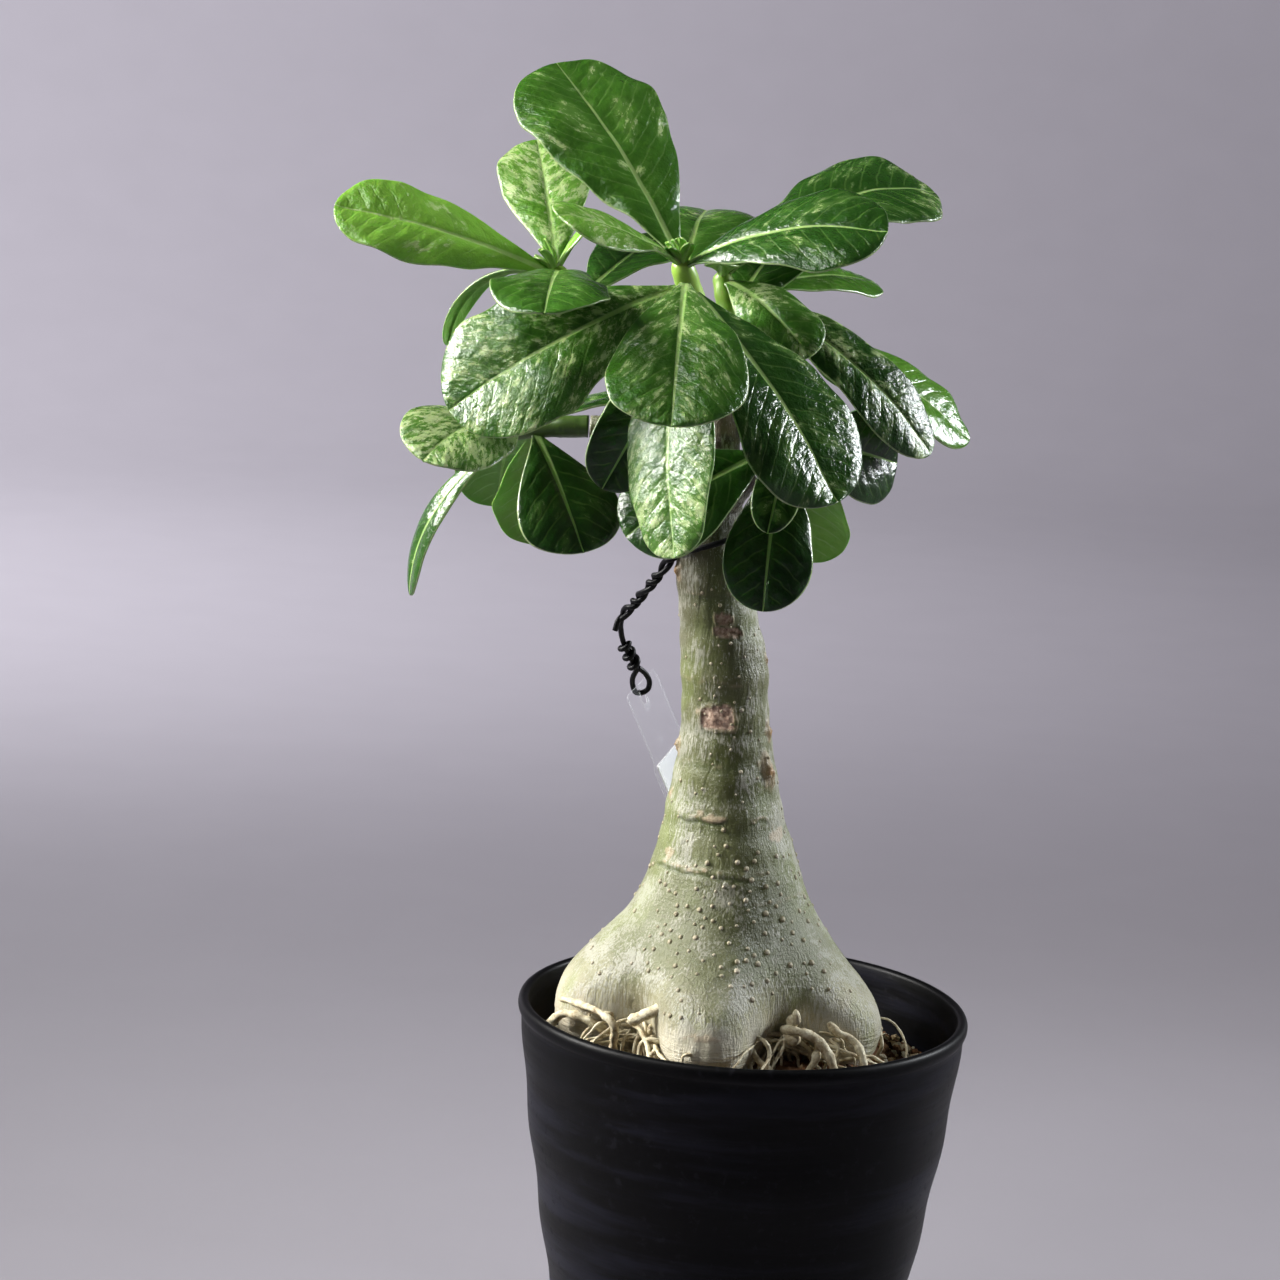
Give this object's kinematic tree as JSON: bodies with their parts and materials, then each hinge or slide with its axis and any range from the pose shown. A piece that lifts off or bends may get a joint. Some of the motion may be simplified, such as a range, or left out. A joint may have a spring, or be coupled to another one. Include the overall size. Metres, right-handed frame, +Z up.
{
  "type": "potted caudex plant",
  "caption": "Young desert rose with a swollen lobed base, bare trunk and glossy variegated leaves in a round nursery pot, with a wire-hung clear tag sleeve.",
  "frame": {"origin": "middle of the pot's underside, where it rests", "axes": "+Z up along the plant, front of the plant towards -Y, its right-hand side towards +X"},
  "size_m": [0.1781, 0.1419, 0.3651],
  "materials": {
    "black_plastic": "satin",
    "soil": "matte",
    "bark": "satin",
    "leaf_front": "gloss",
    "leaf_right": "gloss",
    "leaf_left": "gloss",
    "leaf_low_left": "gloss",
    "leaf_low_right": "gloss",
    "leaf_back": "gloss",
    "black_wire": "satin",
    "clear_film": "gloss",
    "white_card": "matte"
  },
  "bodies": {
    "root": {"pot": "black_plastic", "soil": "soil", "caudex_trunk": "bark", "leafy_shoot_front": "leaf_front", "leafy_shoot_right": "leaf_right", "leafy_shoot_left": "leaf_left", "leafy_shoot_low_left": "leaf_low_left", "leafy_shoot_low_right": "leaf_low_right", "leafy_shoot_back": "leaf_back", "tag_wire": "black_wire", "clear_tag_sleeve": "clear_film", "blank_tag_card": "white_card"}
  },
  "joints": []
}
